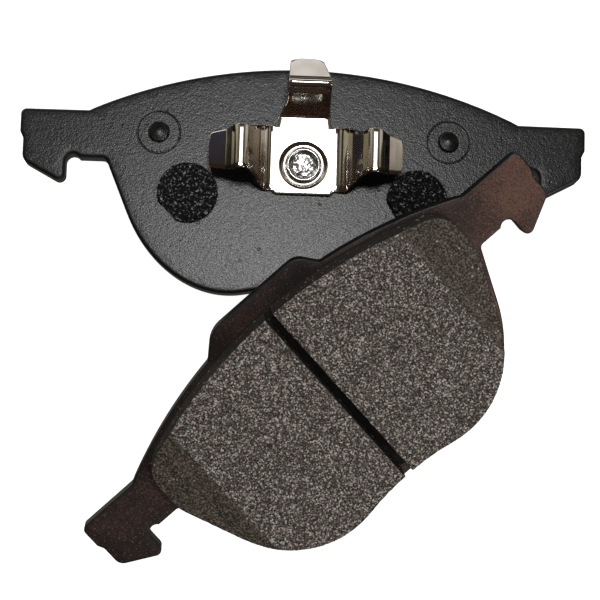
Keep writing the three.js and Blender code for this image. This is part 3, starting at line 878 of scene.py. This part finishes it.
def underlayer(pad, place, body, seed):
    """The layer between lining and plate, keyed into the pockets behind the pips."""
    half = lining_half(0)
    loop = ragged(divided(rounded([*half, *mirrored(half)])[::-1], 1), 0.22, 2.5, seed)
    rim = [(0.25, LINING + BOND), (0.05, LINING + 0.3), (-0.05, LINING + 1), (-0.12, LINING + 1.6),
           (-0.2, PLATE_LOW - BOND)]
    key_height = POCKET_DEPTH - 0.1
    keys = [(side * PIP[0], PIP[1],
             [(PIP_RADIUS - 0.15, 0), (PIP_RADIUS - 0.2, key_height), (0, key_height)], False)
            for side in (-1, 1)]
    bm = slab(loop, rim, {"spacing": 4}, {"spacing": 4, "reliefs": keys})
    obj = piece(f"{pad}_bonded_underlayer", bm, place, [UNDERLAYER, UNDERLAYER])
    settle(obj, body, f"{pad}_underlayer")


# ---------------------------------------------------------------- felt discs
def felt_disc(side, seed):
    """A felt disc stuck to the back, with one cut flat. Its nap stands a little above the cloth."""
    label = "left" if side < 0 else "right"
    turn = math.radians(DISC_TURNS[0] if side < 0 else DISC_TURNS[1])
    edge = math.acos(DISC_FLAT / DISC_RADIUS)
    angles = spaced(edge - math.pi / 2, 1.5 * math.pi - edge, 90)
    loop = [Vector((DISC_RADIUS * math.cos(a), DISC_RADIUS * math.sin(a))) for a in angles]
    turner = Matrix.Rotation(turn, 2)
    loop = [turner @ p + Vector((side * DISC[0], DISC[1])) for p in loop]
    loop = ragged(divided(loop, 0.5), 0.16, 1.2, seed)
    low = PLATE_HIGH + BOND
    high = low + DISC_THICKNESS - 0.15
    rim = [(0.1, low), (0, low + 0.3), (0, high - 0.5), (0.15, high - 0.15), (0.5, high)]
    bm = slab(loop, rim, {"spacing": 3}, {"spacing": 0.42})
    obj = piece(f"felt_disc_{label}", bm, INNER, [FELT, FELT], crease=60)
    grow(obj, NAP, grain=1.3 * MM, relief=0.42 * MM, density=2.2 / MM ** 2, smallest=0.5 * MM,
         largest=1.3 * MM, flatness=0.35, seed=seed, particle_material=FELT)
    settle(obj, "inner_pad", f"damping_disc_{label}")


# ---------------------------------------------------------------- piston clip
def clip_flat():
    """The clip's flat, dished round the rivet. Its edges stay square where a finger goes on."""
    corners = [(-BEND, CLIP_FOOT + 0.9, 0), (-7.5, CLIP_FOOT, 0.6), (7.5, CLIP_FOOT, 0.6),
               (BEND, CLIP_FOOT + 0.9, 0), (BEND, SIDE_ROOT - 0.2, 0), (TOP_ROOT, BEND, 0),
               (-TOP_ROOT, BEND, 0), (-BEND, SIDE_ROOT - 0.2, 0)]
    loop = divided(rounded(corners), 0.7)
    bends = [abs(p.x) > BEND - 1e-3 or p.y > BEND - 1e-3 for p in loop]
    share = [0 if bend else 1 for bend in bends]
    rim = [(0.2, SHEET_LOW), (0.05, SHEET_LOW + 0.06), (0, SHEET_LOW + 0.2), (0, SHEET_HIGH - 0.22),
           (0.07, SHEET_HIGH - 0.06), (0.25, SHEET_HIGH)]
    sunk = PLATE_HIGH + BOND - SHEET_LOW
    low = [(7.0, 0), (6.75, -0.03), (5.8, sunk + 0.05), (5.5, sunk), (RIVET_HOLE, sunk)]
    high = [(6.85, 0), (6.65, 0), (6.4, -0.08), (5.85, sunk + 0.1), (5.6, sunk), (5.4, sunk),
            (RIVET_HOLE, sunk)]
    bm = slab(loop, rim, {"spacing": 1.2, "reliefs": [(0, RIVET_Y, low, True)]},
              {"spacing": 0.9, "reliefs": [(0, RIVET_Y, high, True)]}, rim_share=share)
    obj = piece("clip_flat", bm, INNER, [SPRING, SPRING], crease=50)
    settle(obj, "inner_pad", "clip_base")


def distance_from_axis(edge, tip):
    """How far a finger's edge lies from its axis, against its reach."""
    reaches, away = zip(*[(p.x, p.y) for p in rounded([*edge, (tip, 0, 0)], closed=False)])
    return lambda reach: float(np.interp(reach, reaches, away))


def strip_section(left, right, edge=0.24):
    """The strip's cross-section as (y, u) points: u goes through the sheet, corners rounded."""
    thin = SHEET / 2 - edge
    corners = [(left - edge, thin, 90), (left - edge, -thin, 0), (edge - right, -thin, -90),
               (edge - right, thin, -180)]
    bends = [(y + edge * math.cos(a), u + edge * math.sin(a)) for y, u, first in corners
             for a in (math.radians(first - 30 * k) for k in range(4))]
    points = []
    for (y, u), (next_y, next_u) in zip(bends, bends[1:] + bends[:1]):
        parts = 10 if abs(next_y - y) > 2 * edge else 1
        points += [(y + (next_y - y) * s / parts, u + (next_u - u) * s / parts) for s in range(parts)]
    return points


def clip_finger(label):
    """One finger: the strip rises from its bend, turns over at the crest and ends in a flat pad."""
    finger = FINGERS[label]
    line = divided(rounded(finger["line"], 0.1, closed=False), 0.5, closed=False)
    line[-1:-1] = [line[-2].lerp(line[-1], share) for share in (0.4, 0.75)]
    left, right = (distance_from_axis(edge, finger["tip"]) for edge in finger["edges"])
    middle = SHEET_LOW + SHEET / 2
    sections = []
    for i, at in enumerate(line):
        along = (line[min(i + 1, len(line) - 1)] - line[max(i - 1, 0)]).normalized()
        across = Vector((-along.y, along.x))
        sections.append([(at.x + across.x * u, y, middle + at.y + across.y * u)
                         for y, u in strip_section(left(at.x), right(at.x))])
    turn = Matrix.Rotation(math.radians(finger["heading"]), 4, "Z")
    obj = piece(f"clip_strip_{label}", lofted(sections), INNER @ turn, [SPRING], crease=50)
    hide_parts(f"clip_finger_{label}")
    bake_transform(obj)


def rivet():
    """The clip's rivet: countersunk foot, shank, and a spun-over head with a crumpled hollow."""
    seat = PLATE_HIGH + 2 * BOND + SHEET
    top = seat + RIVET_HEAD_HEIGHT
    profile = [(0, PLATE_LOW + BOND), (4.4, PLATE_LOW + BOND), (4.6, PLATE_LOW + 0.2),
               (4.6, PLATE_LOW + 0.4), (SHANK, PLATE_LOW + COUNTERSINK_DEPTH), (SHANK, seat), (4.8, seat),
               (5.02, seat + 0.12), (5.1, seat + 0.4), (5.02, seat + 0.8), (4.8, top - 0.22),
               (4.5, top - 0.05), (4.2, top), (3.95, top - 0.06), (3.72, top - 0.22)]
    hollow = spaced(3.5, 0, 12)
    profile += [(radius, top - HOLLOW_DEPTH + 0.5 * (radius / 3.72) ** 10) for radius in hollow]
    bm = turned(profile, 0, RIVET_Y)
    for v in bm.verts:
        away = math.hypot(v.co.x, v.co.y - RIVET_Y)
        if v.co.z > seat + 0.2 and away < 3.9:
            crumple = noise.noise(Vector((v.co.x * 0.7, v.co.y * 0.7, 5)))
            crumple += 0.35 * noise.noise(Vector((v.co.x * 1.9, v.co.y * 1.9, 8)))
            v.co.z += 0.2 * crumple * min(1, 2 * (3.9 - away))
    obj = piece("clip_rivet_spun", bm, INNER, [ZINC], crease=40)
    settle(obj, "inner_pad", "clip_rivet")


backing_plate("inner_plate", False, INNER, "inner_pad", COAT, PRIMER)
underlayer("inner", INNER, "inner_pad", 3)
lining_block("inner", -1, INNER, "inner_pad", 11)
lining_block("inner", 1, INNER, "inner_pad", 12)
felt_disc(-1, 21)
felt_disc(1, 22)
clip_flat()
for side in FINGERS:
    clip_finger(side)
rivet()
backing_plate("outer_plate", True, OUTER, "outer_pad", COAT, PRIMER)
underlayer("outer", OUTER, "outer_pad", 4)
lining_block("outer", -1, OUTER, "outer_pad", 13)
lining_block("outer", 1, OUTER, "outer_pad", 14)


# ---------------------------------------------------------------- studio
def floor():
    """White card under the pads, lit evenly enough to be plain white."""
    made, _, shader, _ = material("white_card")
    shader.inputs["Base Color"].default_value = colour("f4f4f4")
    shader.inputs["Roughness"].default_value = 0.9
    shader.inputs["Emission Color"].default_value = (1, 1, 1, 1)
    shader.inputs["Emission Strength"].default_value = 1
    mesh = bpy.data.meshes.new("white_card")
    size = 3
    mesh.from_pydata([(-size, -size, -0.0002), (size, -size, -0.0002), (size, size, -0.0002),
                      (-size, size, -0.0002)], [], [(0, 1, 2, 3)])
    mesh.materials.append(made)
    card = bpy.data.objects.new("white_card", mesh)
    card.visible_diffuse = False
    card.visible_glossy = False
    bpy.context.scene.collection.objects.link(card)


def softbox(name, at, aim, width, height, power):
    """A white rectangular light, in metres and watts."""
    light = bpy.data.lights.new(name, "AREA")
    light.shape = "RECTANGLE"
    light.size = width
    light.size_y = height
    light.energy = power
    lamp = bpy.data.objects.new(name, light)
    lamp.location = at
    lamp.rotation_euler = (Vector(aim) - Vector(at)).to_track_quat("-Z", "Y").to_euler()
    bpy.context.scene.collection.objects.link(lamp)


def world():
    """A dim brown room under a grey ceiling, with pale boards towards the back of both sides."""
    made = bpy.data.worlds.new("dim_studio")
    made.use_nodes = True
    tree = made.node_tree
    way = add(tree, "ShaderNodeSeparateXYZ", {0: add(tree, "ShaderNodeTexCoord").outputs["Generated"]})
    tone = shades(tree, way.outputs[2], [(0.0, "6b6863"), (0.03, "2e1a14"), (0.32, "2a1812"),
                                         (0.36, "8a8674"), (0.4, "2c1a14"), (0.88, "3a2d26"),
                                         (1.0, "565656")])
    across = add(tree, "ShaderNodeMapRange", {0: way.outputs[0], 1: -1.0}).outputs[0]
    boards = shades(tree, across, [(0.09, "b2ad98"), (0.11, "2b1d17"), (0.15, "3a3c4a"),
                                   (0.18, "2b1d17"), (0.2, "b2ad98"), (0.5, "b2ad98"),
                                   (0.7, "948a7b"), (0.8, "948a7b"), (0.84, "3a2a22"),
                                   (0.9, "3a2a22"), (0.92, "a39a8c"), (0.98, "cbc6bc")])
    near = add(tree, "ShaderNodeMapRange", {0: way.outputs[1], 1: 0.208, 2: 0.196}).outputs[0]
    boards = add(tree, "ShaderNodeMix", {0: near, 6: boards, 7: colour("33271f")}, data_type="RGBA")
    aside = add(tree, "ShaderNodeMath", {0: way.outputs[0]}, operation="ABSOLUTE").outputs[0]
    aside = add(tree, "ShaderNodeMapRange", {0: aside, 1: 0.35, 2: 0.5}).outputs[0]
    tone = add(tree, "ShaderNodeMix", {0: aside, 6: tone, 7: boards.outputs[2]}, data_type="RGBA")
    background = tree.nodes["Background"]
    tree.links.new(tone.outputs[2], background.inputs[0])
    background.inputs[1].default_value = 1.0
    bpy.context.scene.world = made


def camera():
    """A long lens nearly overhead."""
    lens = bpy.data.cameras.new("camera")
    lens.sensor_width = 36
    lens.lens = 99.16
    view = bpy.data.objects.new("camera", lens)
    view.location = (-0.01295, -0.05043, 0.46365)
    view.rotation_euler = Euler([math.radians(a) for a in (6.895, -1.897, 1.686)])
    bpy.context.scene.collection.objects.link(view)
    bpy.context.scene.camera = view


floor()
world()
camera()
softbox("overhead", (0, 0.12, 0.9), (0, 0.02, 0), 0.18, 0.09, 1.35)
softbox("clip_card", (0.02, 0.23, 0.9), (0, 0.04, 0), 0.2, 0.11, 0.2)
softbox("front_fill", (0.7, -0.7, 0.6), (0, 0, 0), 0.5, 0.5, 4.0)
softbox("rear_fill", (-0.8, 0.75, 0.4), (0, 0, 0), 0.4, 0.4, 1.5)
softbox("rear_card", (0, 1.0, 0.38), (0, 0, 0), 1.2, 0.4, 1.3)
# The card has to come out plain white, which the default view transform would grey.
bpy.context.scene.view_settings.view_transform = "Standard"
